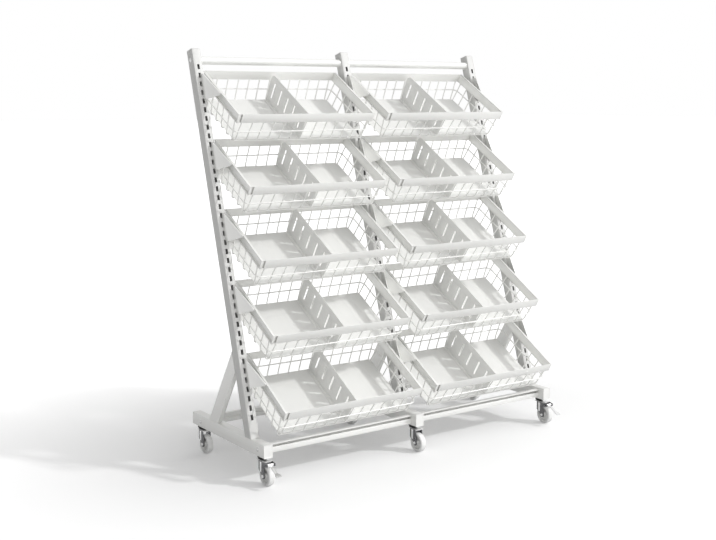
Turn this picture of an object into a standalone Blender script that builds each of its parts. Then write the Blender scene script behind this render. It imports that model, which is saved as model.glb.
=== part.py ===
"""Snack display rack: three leaning slotted frames on casters carry five tiers of hook-on wire baskets.

Metres, +Z up, +Y towards the back. The origin lies on the floor, under the middle of the rack's outline.
"""

from math import atan2, cos, pi, radians, sin, tan

import bmesh
import bpy
from mathutils import Matrix, Vector

# Fits
GAP = 0.0003  # between pieces that touch
RUN = 0.0005  # round a pin, and between a shoe and its wheel
WELD = 0.001  # depth by which welded shapes overlap

# Layout
BAYS = 2
TIERS = 5
BAY_PITCH = 0.704  # between the middles of neighbouring side frames
FRONT_Y = -0.25975  # front end of the legs

# Base legs, rectangular tube
LEG_WIDTH = 0.038
LEG_HEIGHT = 0.050
LEG_LENGTH = 0.562
TUBE_WALL = 0.002

# Slotted uprights, standing on the legs and leaning back
UPRIGHT_WIDTH = 0.038
UPRIGHT_DEPTH = 0.044
UPRIGHT_LENGTH = 1.519
UPRIGHT_SETBACK = 0.0944  # from the leg's front end to the upright's front face
LEAN = radians(16.8)
SLOT_WIDTH = 0.010
SLOT_HEIGHT = 0.020
SLOT_PITCH = 0.035
SLOT_COUNT = 40
FIRST_SLOT = 0.0757  # from the upright's top to the middle of its first slot

# Rear braces, flat tube
BRACE_WIDTH = 0.020
BRACE_DEPTH = 0.060
BRACE_FOOT = 0.387  # from the leg's front end to the middle of the brace's foot
BRACE_RISE = 0.296  # along the upright, from its foot to the middle of the brace's head

# Round tubes between the tops of the uprights
TOP_TUBE_RADIUS = 0.016
TOP_TUBE_DROP = 0.0435  # from the upright's top to the tube's axis
TOP_TUBE_SIDES = 16

# Stepped base rails between the legs
RAIL_DEPTH = 0.030
RAIL_HEIGHT = 0.034
RAIL_STEP = 0.011  # depth of the ledge on the inner side
RAIL_LEDGE = 0.016  # height of the ledge above the rail's underside
FRONT_RAIL_INSET = 0.046  # from the leg's front end to the middle of the rail
REAR_RAIL_INSET = 0.068

# Wire baskets
TIER_SLOTS = 8  # slots from one tier to the next
TOP_HOOK_SLOT = 2  # slot that holds the upper hook of the top tier, counted from 0
BASKET_SIDE_GAP = 0.0163  # between the basket's rim and the uprights at its sides
BASKET_DEPTH = 0.3307
BASKET_HEIGHT = 0.1248  # from the rim to the middle of the lower wires
BASKET_TILT = radians(30.8)
BASKET_BEHIND = 0.052  # reach of the rim behind the upright's front face
BAND_HEIGHT = 0.038
BAND_THICKNESS = 0.005
WALL_TAPER = 0.012  # how far each wall draws in from the rim to the floor
WIRE_RADIUS = 0.0022
WIRE_HOLD = 0.003  # length of a wire's end inside the band
WIRE_SIDES = 3
FRONT_WIRES = 13
FRONT_WIRE_EDGE = 0.0245  # from the rim's corner to the first wire that runs from front to back
SIDE_WIRES = 7
SIDE_WIRE_EDGE = 0.0195  # from the rim's corner to the first wire that runs from side to side
RING_DROP = 0.080  # from the rim to the middle wire
RING_SINK = 0.0004  # by which the middle wire's centre lies inside the wires' outer sides
RING_OVERHANG = 0.0052  # of a piece of the middle wire beyond the last wire it is welded to

# Hook brackets at the rear corners of a basket
PLATE = 0.003
HOOK_OFFSET = 0.003  # from the slot's middle to the blade's middle, so that two baskets share a slot
HOOK_DROP = 0.008
HOOK_REACH = 0.008
HOOK_NECK = 0.008
HOOK_BELOW_RIM = 0.027  # along the upright, from the rim to the upper hook's slot
BRACKET_HEIGHT = 0.095
BRACKET_LENGTH = 0.078
BLADE_LENGTH = 0.018
JOGGLE_END = 0.070

# Sheets inside a basket
FLOOR_THICKNESS = 0.0012
FLOOR_CORNER = 0.018
SHEET_CLEARANCE = 0.001
DIVIDER_THICKNESS = 0.0015
DIVIDER_BELOW_RIM = 0.003
DIVIDER_CORNER = 0.032
DIVIDER_FOOT = 0.014
DIVIDER_SLOTS = 5
DIVIDER_SLOT_WIDTH = 0.009
DIVIDER_SLOT_LENGTH = 0.068
DIVIDER_SLOT_EDGE = 0.050  # from the rim to the middle of the first slot
CORNER_STEPS = 4

# Casters
CASTER_HEIGHT = 0.104
CASTER_INSET = 0.045  # from a leg's end to the swivel axis
CASTER_TRAIL = 0.035
WHEEL_RADIUS = 0.0375
WHEEL_WIDTH = 0.026
HUB_WIDTH = 0.028
HUB_RADIUS = 0.010
AXLE_RADIUS = 0.004
WHEEL_SIDES = 16
FORK_PLATE = 0.003
FORK_REAR = 0.018
FORK_FRONT = -0.046
FORK_CROWN = 0.0895  # underside of the fork's crown
FORK_BOSS = 0.011
HEAD_RADIUS = 0.0225
STEM_RADIUS = 0.005
STEM_LENGTH = 0.020
ROUND_SIDES = 12

# Brake pedals, on the outer front casters
PIVOT_Y = -0.056
PIVOT_Z = 0.083
PIVOT_RADIUS = 0.0025
BARREL_RADIUS = 0.005
PEDAL_WIDTH = 0.022
PEDAL_THICKNESS = 0.003
PEDAL_REACH = 0.066  # from the pivot to the tip
PEDAL_FALL = 0.026
SHOE_THICKNESS = 0.006

# Worked out from the sizes above
LEG_TOP = CASTER_HEIGHT + LEG_HEIGHT
FRAME_XS = [(i - BAYS / 2) * BAY_PITCH for i in range(BAYS + 1)]
BAY_XS = [(i + 0.5 - BAYS / 2) * BAY_PITCH for i in range(BAYS)]
SIDE_NAMES = ["left", "centre", "right"]
BAY_NAMES = ["left", "right"]
ALONG = Vector((0, sin(LEAN), cos(LEAN)))  # up the uprights
BACK = Vector((0, cos(LEAN), -sin(LEAN)))  # square to their front faces
FOOT = Vector((0, FRONT_Y + UPRIGHT_SETBACK, LEG_TOP + GAP))
BASKET_WIDTH = BAY_PITCH - UPRIGHT_WIDTH - 2 * BASKET_SIDE_GAP
RIM_FRONT = BASKET_BEHIND - BASKET_DEPTH
WIRE_LINE = BAND_THICKNESS / 2  # from the rim's outer face to the wires' middle
FLOOR_Z = -BASKET_HEIGHT + WIRE_RADIUS - WELD  # underside of the floor sheet
WIRE_TAPER = WALL_TAPER / (BASKET_HEIGHT - BAND_HEIGHT + WIRE_HOLD)  # how far a wall draws in for its fall
RING_INSET = WIRE_LINE + WIRE_TAPER * (RING_DROP - BAND_HEIGHT + WIRE_HOLD) - WIRE_RADIUS + RING_SINK
SHEET_INSET = WIRE_LINE + WALL_TAPER + WIRE_RADIUS + SHEET_CLEARANCE

PARTS = None
CUTTERS = None


def start_scene():
    """Empties the scene and makes the two collections."""
    global PARTS, CUTTERS
    for obj in list(bpy.data.objects):
        bpy.data.objects.remove(obj, do_unlink=True)
    PARTS = bpy.data.collections.new("snack_display_rack")
    CUTTERS = bpy.data.collections.new("cutters")
    for collection in (PARTS, CUTTERS):
        bpy.context.scene.collection.children.link(collection)
    CUTTERS.hide_render = True


def finish_of(name, color, roughness, metallic=0.0):
    """A Principled material, kept by name."""
    material = bpy.data.materials.get(name)
    if material is None:
        material = bpy.data.materials.new(name)
        material.use_nodes = True
        shader = material.node_tree.nodes["Principled BSDF"]
        shader.inputs["Base Color"].default_value = (*color, 1.0)
        shader.inputs["Roughness"].default_value = roughness
        shader.inputs["Metallic"].default_value = metallic
    return material


def white_coat():
    return finish_of("white_powder_coat", (0.86, 0.86, 0.84), 0.45)


def zinc_plate():
    return finish_of("zinc_plated_steel", (0.42, 0.42, 0.43), 0.35, 1.0)


def pale_nylon():
    return finish_of("pale_nylon", (0.80, 0.80, 0.79), 0.5)


def add_object(name, mesh, material, place=None, collection=None):
    """An object of this mesh, with its own material slot, at a place."""
    obj = bpy.data.objects.new(name, mesh)
    (collection or PARTS).objects.link(obj)
    if not mesh.materials:
        mesh.materials.append(material)
    obj.matrix_world = place or Matrix()
    return obj


def mesh_of(name, bm):
    """A mesh from a bmesh, with its faces turned outwards."""
    bmesh.ops.recalc_face_normals(bm, faces=bm.faces)
    mesh = bpy.data.meshes.new(name)
    bm.to_mesh(mesh)
    bm.free()
    return mesh


def tool(name, bm):
    """A helper solid for a Boolean, left out of the model."""
    obj = add_object(name, mesh_of(name, bm), white_coat(), collection=CUTTERS)
    obj.hide_render = True
    obj.display_type = "WIRE"
    return obj


def boolean(obj, other, operation):
    modifier = obj.modifiers.new(other.name, "BOOLEAN")
    modifier.operation = operation
    modifier.object = other
    modifier.solver = "EXACT"


def thicken(obj, thickness, offset):
    """Gives a sheet its thickness: offset -1 grows inwards, 0 both ways."""
    modifier = obj.modifiers.new("sheet", "SOLIDIFY")
    modifier.thickness = thickness
    modifier.offset = offset
    modifier.use_even_offset = True


def settled_mesh(obj):
    """The object's mesh with its modifiers applied; the object itself is removed."""
    bpy.context.view_layer.update()
    graph = bpy.context.evaluated_depsgraph_get()
    mesh = bpy.data.meshes.new_from_object(obj.evaluated_get(graph))
    mesh.name = obj.name
    bpy.data.objects.remove(obj, do_unlink=True)
    bm = bmesh.new()
    bm.from_mesh(mesh)
    bmesh.ops.remove_doubles(bm, verts=bm.verts, dist=1e-6)
    bm.to_mesh(mesh)
    bm.free()
    return mesh


def add_box(bm, low, high):
    low, high = Vector(low), Vector(high)
    place = Matrix.Translation((low + high) / 2) @ Matrix.Diagonal((*(high - low), 1.0))
    bmesh.ops.create_cube(bm, size=1.0, matrix=place)


def add_rod(bm, start, end, radius, sides=ROUND_SIDES):
    """A closed cylinder between two points."""
    start, end = Vector(start), Vector(end)
    turn = (end - start).to_track_quat("Z", "Y").to_matrix().to_4x4()
    bmesh.ops.create_cone(
        bm, cap_ends=True, segments=sides, radius1=radius, radius2=radius,
        depth=(end - start).length, matrix=Matrix.Translation((start + end) / 2) @ turn,
    )


def add_plate(bm, outline, left, right):
    """A flat plate square to X, from an outline of (y, z) points."""
    face = bm.faces.new([bm.verts.new((left, y, z)) for y, z in outline])
    swept = bmesh.ops.extrude_face_region(bm, geom=[face])["geom"]
    moved = [item for item in swept if isinstance(item, bmesh.types.BMVert)]
    bmesh.ops.translate(bm, verts=moved, vec=(right - left, 0, 0))


def add_wire(bm, path, radius=WIRE_RADIUS, sides=WIRE_SIDES, closed=False):
    """A wire swept along straight runs, mitred where they meet."""
    points = [Vector(point) for point in path]
    last = len(points) - 1
    runs = [(b - a).normalized() for a, b in zip(points, points[1:] + points[:1])]
    turn = runs[-1 if closed else 0].to_track_quat("Z", "Y").to_matrix()
    ring = [points[0] + turn @ Vector((x, y, 0)) for x, y in circle(radius, sides)]
    rings = []
    for i, point in enumerate(points):
        before = runs[i - 1] if closed or i > 0 else runs[0]
        after = runs[i] if closed or i < last else before
        mitre = (before + after).normalized()
        ring = [p + before * ((point - p).dot(mitre) / before.dot(mitre)) for p in ring]
        rings.append([bm.verts.new(p) for p in ring])
    for first, second in zip(rings, rings[1:]):
        join_loops(bm, first, second)
    if closed:
        join_loops(bm, rings[-1], rings[0])
    else:
        bm.faces.new(rings[0])
        bm.faces.new(rings[-1])


def join_loops(bm, first, second):
    """The faces between two loops of the same number of vertices."""
    for i in range(len(first)):
        j = (i + 1) % len(first)
        bm.faces.new((first[i], first[j], second[j], second[i]))


def tube_mesh(name, outer, inner, start, end, lid=None):
    """A tube of two section loops, carried to its ends by start and end; a lid closes it inside the end."""
    bm = bmesh.new()
    rings = [[bm.verts.new(place(*point)) for point in loop]
             for loop, place in ((outer, start), (outer, end), (inner, lid or end), (inner, start))]
    for a, b in ((0, 1), (2, 3), (3, 0)):
        join_loops(bm, rings[a], rings[b])
    if lid:
        bm.faces.new(rings[1])
        bm.faces.new(rings[2])
    else:
        join_loops(bm, rings[1], rings[2])
    return mesh_of(name, bm)


def rectangle(width, depth, wall=0.0):
    """Corner points of a section, the depth running from 0 backwards, drawn in by a wall."""
    half = width / 2 - wall
    return [(-half, wall), (half, wall), (half, depth - wall), (-half, depth - wall)]


def circle(radius, sides):
    angles = [2 * pi * i / sides for i in range(sides)]
    return [(radius * cos(angle), radius * sin(angle)) for angle in angles]


def upright_place(x):
    """A frame on an upright's front face: X across, Y into the tube, Z up the tube."""
    return Matrix.Translation(FOOT + Vector((x, 0, 0))) @ Matrix.Rotation(-LEAN, 4, "X")


def slot_height(index):
    """Height up the post of the middle of a slot, counted from the top."""
    return UPRIGHT_LENGTH - FIRST_SLOT - index * SLOT_PITCH


def basket_place(x, tier):
    """A frame where a basket's rim crosses the uprights: Y to the rear rim, Z out of the basket."""
    up = slot_height(TOP_HOOK_SLOT + tier * TIER_SLOTS) + HOOK_BELOW_RIM
    return Matrix.Translation(FOOT + ALONG * up + Vector((x, 0, 0))) @ Matrix.Rotation(BASKET_TILT, 4, "X")


def make_legs():
    """Closed rectangular tubes with two holes below for the caster stems."""
    bm = bmesh.new()
    add_box(bm, (-LEG_WIDTH / 2, 0, 0), (LEG_WIDTH / 2, LEG_LENGTH, LEG_HEIGHT))
    blank = add_object("leg_blank", mesh_of("base_leg", bm), white_coat())
    thicken(blank, TUBE_WALL, -1)
    holes = bmesh.new()
    for y in (CASTER_INSET, LEG_LENGTH - CASTER_INSET):
        add_rod(holes, (0, y, -TUBE_WALL), (0, y, 2 * TUBE_WALL), STEM_RADIUS + RUN)
    boolean(blank, tool("stem_holes", holes), "DIFFERENCE")
    mesh = settled_mesh(blank)
    for side, x in zip(SIDE_NAMES, FRAME_XS):
        add_object(f"base_leg_{side}", mesh, white_coat(), Matrix.Translation((x, FRONT_Y, CASTER_HEIGHT)))


def make_uprights():
    """Tubes closed at the top, cut level at the foot, with a row of slots in the front wall."""
    mesh = tube_mesh(
        "slotted_upright",
        rectangle(UPRIGHT_WIDTH, UPRIGHT_DEPTH), rectangle(UPRIGHT_WIDTH, UPRIGHT_DEPTH, TUBE_WALL),
        start=lambda x, y: (x, y, y * tan(LEAN)),
        end=lambda x, y: (x, y, UPRIGHT_LENGTH),
        lid=lambda x, y: (x, y, UPRIGHT_LENGTH - TUBE_WALL),
    )
    blank = add_object("upright_blank", mesh, white_coat())
    slots = bmesh.new()
    for index in range(SLOT_COUNT):
        low = slot_height(index) - SLOT_HEIGHT / 2
        add_box(
            slots, (-SLOT_WIDTH / 2, -TUBE_WALL, low), (SLOT_WIDTH / 2, 2 * TUBE_WALL, low + SLOT_HEIGHT)
        )
    boolean(blank, tool("upright_slots", slots), "DIFFERENCE")
    mesh = settled_mesh(blank)
    for side, x in zip(SIDE_NAMES, FRAME_XS):
        add_object(f"slotted_upright_{side}", mesh, white_coat(), upright_place(x))


def make_braces():
    """Flat tubes from the legs to the uprights' backs, cut to meet both."""
    foot = Vector((0, FRONT_Y + BRACE_FOOT, LEG_TOP + GAP))
    head = FOOT + ALONG * BRACE_RISE + BACK * (UPRIGHT_DEPTH + GAP)
    run = (head - foot).normalized()
    across = Vector((0, run.z, -run.y))

    def cut(x, depth, plane_point, normal):
        """Where the tube's edge at a section point meets a plane."""
        edge = foot + across * (depth - BRACE_DEPTH / 2) + Vector((x, 0, 0))
        return edge + run * ((plane_point - edge).dot(normal) / run.dot(normal))

    mesh = tube_mesh(
        "rear_brace",
        rectangle(BRACE_WIDTH, BRACE_DEPTH), rectangle(BRACE_WIDTH, BRACE_DEPTH, TUBE_WALL),
        start=lambda x, depth: cut(x, depth, foot, Vector((0, 0, 1))),
        end=lambda x, depth: cut(x, depth, head, BACK),
    )
    outward = (LEG_WIDTH - BRACE_WIDTH) / 2
    for side, x in zip(SIDE_NAMES, FRAME_XS):
        shift = 0.0 if x == 0 else outward * x / abs(x)
        add_object(f"rear_brace_{side}", mesh, white_coat(), Matrix.Translation((x + shift, 0, 0)))


def make_top_tubes():
    """Round tubes between the uprights, near their tops."""
    half = (BAY_PITCH - UPRIGHT_WIDTH) / 2 - GAP
    mesh = tube_mesh(
        "top_tube",
        circle(TOP_TUBE_RADIUS, TOP_TUBE_SIDES), circle(TOP_TUBE_RADIUS - TUBE_WALL, TOP_TUBE_SIDES),
        start=lambda y, z: (-half, y, z),
        end=lambda y, z: (half, y, z),
    )
    middle = FOOT + ALONG * (UPRIGHT_LENGTH - TOP_TUBE_DROP) + BACK * (UPRIGHT_DEPTH / 2)
    for bay, x in zip(BAY_NAMES, BAY_XS):
        add_object(f"top_tube_{bay}", mesh, white_coat(), Matrix.Translation(middle + Vector((x, 0, 0))))


def make_base_rails():
    """Stepped rails between the legs, with the ledge on the inner side."""
    half = (BAY_PITCH - LEG_WIDTH) / 2 - GAP

    def section(wall):
        """The stepped outline, drawn in by a wall."""
        outer, inner = wall - RAIL_DEPTH / 2, RAIL_DEPTH / 2 - wall
        low, high = wall - RAIL_HEIGHT / 2, RAIL_HEIGHT / 2 - wall
        ledge, riser = RAIL_LEDGE - RAIL_HEIGHT / 2 - wall, RAIL_DEPTH / 2 - RAIL_STEP - wall
        return [(outer, low), (inner, low), (inner, ledge), (riser, ledge), (riser, high), (outer, high)]

    rows = (("front", FRONT_Y + FRONT_RAIL_INSET, 1), ("rear", FRONT_Y + LEG_LENGTH - REAR_RAIL_INSET, -1))
    for row, row_y, inwards in rows:
        mesh = tube_mesh(
            f"{row}_base_rail", section(0.0), section(TUBE_WALL),
            start=lambda y, z: (-half, inwards * y, z),
            end=lambda y, z: (half, inwards * y, z),
        )
        for bay, x in zip(BAY_NAMES, BAY_XS):
            place = Matrix.Translation((x, row_y, CASTER_HEIGHT + LEG_HEIGHT / 2))
            add_object(f"{row}_base_rail_{bay}", mesh, white_coat(), place)


def spread(count, length):
    """Evenly spaced places along a length, from its one end to the other, about its middle."""
    return [(i / (count - 1) - 0.5) * length for i in range(count)]


def rounded_rectangle(left, right, front, rear, radius, steps):
    """Corner points of a rectangle whose corners are arcs of that many steps."""
    centres = [
        (right - radius, rear - radius), (left + radius, rear - radius),
        (left + radius, front + radius), (right - radius, front + radius),
    ]
    points = []
    for quarter, (x, y) in enumerate(centres):
        for step in range(steps + 1):
            angle = pi / 2 * (quarter + step / steps)
            points.append((x + radius * cos(angle), y + radius * sin(angle)))
    return points


def basket_wires():
    """Wires down the front and rear walls, and wires bent to a U from side to side under the floor."""
    top, low = -BAND_HEIGHT + WIRE_HOLD, -BASKET_HEIGHT
    under = low - 2 * WIRE_RADIUS - GAP
    half = BASKET_WIDTH / 2
    outer, inner = WIRE_LINE, WIRE_LINE + WALL_TAPER
    bm = bmesh.new()
    for x in spread(FRONT_WIRES, BASKET_WIDTH - 2 * FRONT_WIRE_EDGE):
        add_wire(bm, [(x, RIM_FRONT + outer, top), (x, RIM_FRONT + inner, low)])
        add_wire(bm, [(x, BASKET_BEHIND - outer, top), (x, BASKET_BEHIND - inner, low)])
    middle = (RIM_FRONT + BASKET_BEHIND) / 2
    for y in spread(SIDE_WIRES, BASKET_DEPTH - 2 * SIDE_WIRE_EDGE):
        xs = (outer - half, inner - half, half - inner, half - outer)
        add_wire(bm, [(x, middle + y, z) for x, z in zip(xs, (top, under, under, top))])
    return bm


def basket_ring():
    """The middle wire, a straight piece along each wall, welded to the outer sides of the wall's wires."""
    across = BASKET_WIDTH / 2 - FRONT_WIRE_EDGE + RING_OVERHANG
    side = BASKET_WIDTH / 2 - RING_INSET
    front, rear = RIM_FRONT + RING_INSET, BASKET_BEHIND - RING_INSET
    near = RIM_FRONT + SIDE_WIRE_EDGE - RING_OVERHANG
    far = BASKET_BEHIND - SIDE_WIRE_EDGE + RING_OVERHANG
    bm = bmesh.new()
    for y in (front, rear):
        add_wire(bm, [(-across, y, -RING_DROP), (across, y, -RING_DROP)])
    for x in (-side, side):
        add_wire(bm, [(x, near, -RING_DROP), (x, far, -RING_DROP)])
    return bm


def hook_blades():
    """Flat blades against the uprights, each with two hooks that drop behind the slotted wall."""
    neck = -HOOK_BELOW_RIM - SLOT_HEIGHT / 2 + GAP
    behind = TUBE_WALL + GAP
    outline = [(-BLADE_LENGTH, -BRACKET_HEIGHT), (-GAP, -BRACKET_HEIGHT)]
    for z in (neck - SLOT_PITCH, neck):
        outline += [(-GAP, z), (behind, z), (behind, z - HOOK_DROP), (HOOK_REACH, z - HOOK_DROP)]
        outline += [(HOOK_REACH, z + HOOK_NECK), (-GAP, z + HOOK_NECK)]
    outline += [(-GAP, -PLATE), (-BLADE_LENGTH, -PLATE - BLADE_LENGTH * tan(LEAN + BASKET_TILT))]
    bm = bmesh.new()
    for side in (-1, 1):
        x = side * (BAY_PITCH / 2 - HOOK_OFFSET)
        add_plate(bm, outline, x - PLATE / 2, x + PLATE / 2)
    return bm


def bracket_wings():
    """Joggled wings from the blades to the rim band, trimmed along the rim."""
    fall = tan(LEAN + BASKET_TILT)
    blade = BAY_PITCH / 2 - HOOK_OFFSET
    seat = BASKET_WIDTH / 2 - WELD
    plan = [
        (blade - PLATE / 4, BLADE_LENGTH / 2), (seat, JOGGLE_END), (seat, BRACKET_LENGTH),
        (seat + PLATE, BRACKET_LENGTH), (seat + PLATE, JOGGLE_END), (blade + PLATE / 4, BLADE_LENGTH / 2),
    ]
    bm = bmesh.new()
    for side in (-1, 1):
        lower = [bm.verts.new((side * x, -y, WELD - BRACKET_HEIGHT)) for x, y in plan]
        upper = [bm.verts.new((side * x, -y, -PLATE - WELD - y * fall)) for x, y in plan]
        join_loops(bm, lower, upper)
        bm.faces.new(lower)
        bm.faces.new(upper)
    return bm


def make_baskets():
    """The rim band with its welded wires and hook brackets, made once and hung on every tier."""
    band = tube_mesh(
        "wire_basket",
        rectangle(BASKET_WIDTH, BASKET_DEPTH), rectangle(BASKET_WIDTH, BASKET_DEPTH, BAND_THICKNESS),
        start=lambda x, y: (x, RIM_FRONT + y, -BAND_HEIGHT),
        end=lambda x, y: (x, RIM_FRONT + y, 0),
    )
    blank = add_object("basket_blank", band, white_coat())
    to_basket = Matrix.Rotation(-LEAN - BASKET_TILT, 4, "X")
    wings, blades = bracket_wings(), hook_blades()
    for bm in (wings, blades):
        bm.transform(to_basket)
    welded = (
        ("basket_wires", basket_wires()), ("middle_wire", basket_ring()),
        ("bracket_wings", wings), ("hook_blades", blades),
    )
    for name, bm in welded:
        boolean(blank, tool(name, bm), "UNION")
    mesh = settled_mesh(blank)
    for tier in range(TIERS):
        for bay, bay_x in zip(BAY_NAMES, BAY_XS):
            add_object(f"wire_basket_{bay}_{tier + 1}", mesh, white_coat(), basket_place(bay_x, tier))


def floor_wires():
    """The wires under a floor sheet, which carry on from the wires of the front and rear walls."""
    inset = SHEET_INSET + GAP
    bm = bmesh.new()
    for x in spread(FRONT_WIRES, BASKET_WIDTH - 2 * FRONT_WIRE_EDGE):
        add_wire(bm, [(x, RIM_FRONT + inset, -BASKET_HEIGHT), (x, BASKET_BEHIND - inset, -BASKET_HEIGHT)])
    return bm


def make_basket_floors():
    """Sheets with round corners and the wires welded under them, made once and laid in every basket."""
    x = BASKET_WIDTH / 2 - SHEET_INSET
    front, rear = RIM_FRONT + SHEET_INSET, BASKET_BEHIND - SHEET_INSET
    outline = rounded_rectangle(-x, x, front, rear, FLOOR_CORNER, CORNER_STEPS)
    bm = bmesh.new()
    lower, upper = [
        [bm.verts.new((x, y, z)) for x, y in outline] for z in (FLOOR_Z, FLOOR_Z + FLOOR_THICKNESS)
    ]
    join_loops(bm, lower, upper)
    bm.faces.new(lower)
    bm.faces.new(upper)
    blank = add_object("floor_blank", mesh_of("basket_floor", bm), white_coat())
    boolean(blank, tool("floor_wires", floor_wires()), "UNION")
    mesh = settled_mesh(blank)
    for tier in range(TIERS):
        for bay, bay_x in zip(BAY_NAMES, BAY_XS):
            add_object(f"basket_floor_{bay}_{tier + 1}", mesh, white_coat(), basket_place(bay_x, tier))


def divider_outline():
    """The divider's edge, front to back: ends follow the sloping walls, the rear top corner is round."""
    low = FLOOR_Z + FLOOR_THICKNESS + GAP
    top = -DIVIDER_BELOW_RIM
    inset = BAND_THICKNESS + SHEET_CLEARANCE
    front_top, front_low = RIM_FRONT + inset, RIM_FRONT + SHEET_INSET
    rear_top, rear_low = BASKET_BEHIND - inset, BASKET_BEHIND - SHEET_INSET
    points = [(front_low, low), (rear_low, low)]
    slope = (rear_top - rear_low) / (top - low)
    for step in range(CORNER_STEPS + 1):
        angle = pi / 2 * step / CORNER_STEPS
        z = top - DIVIDER_CORNER * (1 - sin(angle))
        points.append((rear_low + slope * (z - low) - DIVIDER_CORNER * (1 - cos(angle)), z))
    points.append((front_top, top))
    return points


def make_dividers():
    """Slotted sheets with a turned foot, standing across the middle of every basket floor."""
    low = FLOOR_Z + FLOOR_THICKNESS + GAP
    sheet, slots, foot = bmesh.new(), bmesh.new(), bmesh.new()
    add_plate(sheet, divider_outline(), -DIVIDER_THICKNESS / 2, DIVIDER_THICKNESS / 2)
    middle_y, middle_z = (RIM_FRONT + BASKET_BEHIND) / 2, (low - DIVIDER_BELOW_RIM) / 2
    half_w, half_l = DIVIDER_SLOT_WIDTH / 2, DIVIDER_SLOT_LENGTH / 2
    for y in spread(DIVIDER_SLOTS, BASKET_DEPTH - 2 * DIVIDER_SLOT_EDGE):
        add_box(
            slots, (-DIVIDER_THICKNESS, middle_y + y - half_w, middle_z - half_l),
            (DIVIDER_THICKNESS, middle_y + y + half_w, middle_z + half_l),
        )
    add_box(
        foot, (-DIVIDER_FOOT, RIM_FRONT + SHEET_INSET + WELD, low),
        (0, BASKET_BEHIND - SHEET_INSET - WELD, low + DIVIDER_THICKNESS),
    )
    blank = add_object("divider_blank", mesh_of("basket_divider", sheet), white_coat())
    boolean(blank, tool("divider_slots", slots), "DIFFERENCE")
    boolean(blank, tool("divider_foot", foot), "UNION")
    mesh = settled_mesh(blank)
    for tier in range(TIERS):
        for bay, bay_x in zip(BAY_NAMES, BAY_XS):
            add_object(f"basket_divider_{bay}_{tier + 1}", mesh, white_coat(), basket_place(bay_x, tier))


def fork_arm_outline(braked):
    """The side of a fork, from the crown's rear round the axle boss; a braked one has a nose for the pin."""
    top, axle_y, axle_z = FORK_CROWN + FORK_PLATE + WELD, -CASTER_TRAIL, WHEEL_RADIUS
    outline = [(FORK_REAR, top), (FORK_REAR, top - FORK_BOSS)]
    for step in range(5):
        angle = pi * step / 4
        outline.append((axle_y + FORK_BOSS * cos(angle), axle_z - FORK_BOSS * sin(angle)))
    if braked:
        nose = PIVOT_Y - 2 * BARREL_RADIUS
        outline += [(nose, PIVOT_Z - BARREL_RADIUS), (nose, PIVOT_Z + BARREL_RADIUS)]
    else:
        outline.append((FORK_FRONT, top - FORK_BOSS))
    return outline + [(FORK_FRONT, top)]


def fork_mesh(braked):
    """A swivel fork: two arms, a crown, the bearing head with its stem, and the axle."""
    inner = HUB_WIDTH / 2 + GAP
    outer = inner + FORK_PLATE
    crown_top, head_top = FORK_CROWN + FORK_PLATE, CASTER_HEIGHT - GAP
    arms = bmesh.new()
    for side in (-1, 1):
        add_plate(arms, fork_arm_outline(braked), side * inner, side * outer)
    blank = add_object("fork_blank", mesh_of("caster_fork", arms), zinc_plate())
    crown, head, stem, pins = (bmesh.new() for _ in range(4))
    add_box(
        crown, (WELD - outer, FORK_FRONT + WELD, FORK_CROWN), (outer - WELD, FORK_REAR - WELD, crown_top)
    )
    add_rod(head, (0, 0, crown_top - WELD), (0, 0, head_top), HEAD_RADIUS)
    add_rod(stem, (0, 0, head_top - WELD), (0, 0, head_top + STEM_LENGTH), STEM_RADIUS)
    reach = outer - WELD
    add_rod(pins, (-reach, -CASTER_TRAIL, WHEEL_RADIUS), (reach, -CASTER_TRAIL, WHEEL_RADIUS), AXLE_RADIUS)
    if braked:
        add_rod(pins, (-reach, PIVOT_Y, PIVOT_Z), (reach, PIVOT_Y, PIVOT_Z), PIVOT_RADIUS)
    for name, bm in (("fork_crown", crown), ("fork_head", head), ("fork_stem", stem), ("fork_pins", pins)):
        boolean(blank, tool(name, bm), "UNION")
    return settled_mesh(blank)


def wheel_mesh():
    """A turned wheel on the X axis: bore, hub, dished sides and tread."""
    bore = AXLE_RADIUS + RUN
    half, hub = WHEEL_WIDTH / 2, HUB_WIDTH / 2
    profile = [(hub, bore), (hub, HUB_RADIUS), (half, WHEEL_RADIUS * 0.84), (half * 0.7, WHEEL_RADIUS)]
    profile += [(-a, r) for a, r in reversed(profile)]
    bm = bmesh.new()
    ring = [bm.verts.new((a, 0, -r)) for a, r in profile]
    edges = [bm.edges.new((ring[i], ring[(i + 1) % len(ring)])) for i in range(len(ring))]
    bmesh.ops.spin(
        bm, geom=ring + edges, axis=(1, 0, 0), cent=(0, 0, 0), angle=2 * pi, steps=WHEEL_SIDES, use_merge=True
    )
    bmesh.ops.remove_doubles(bm, verts=bm.verts, dist=1e-6)
    mesh = mesh_of("caster_wheel", bm)
    mesh.shade_smooth()
    mesh.set_sharp_from_angle(angle=radians(40))
    return mesh


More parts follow.
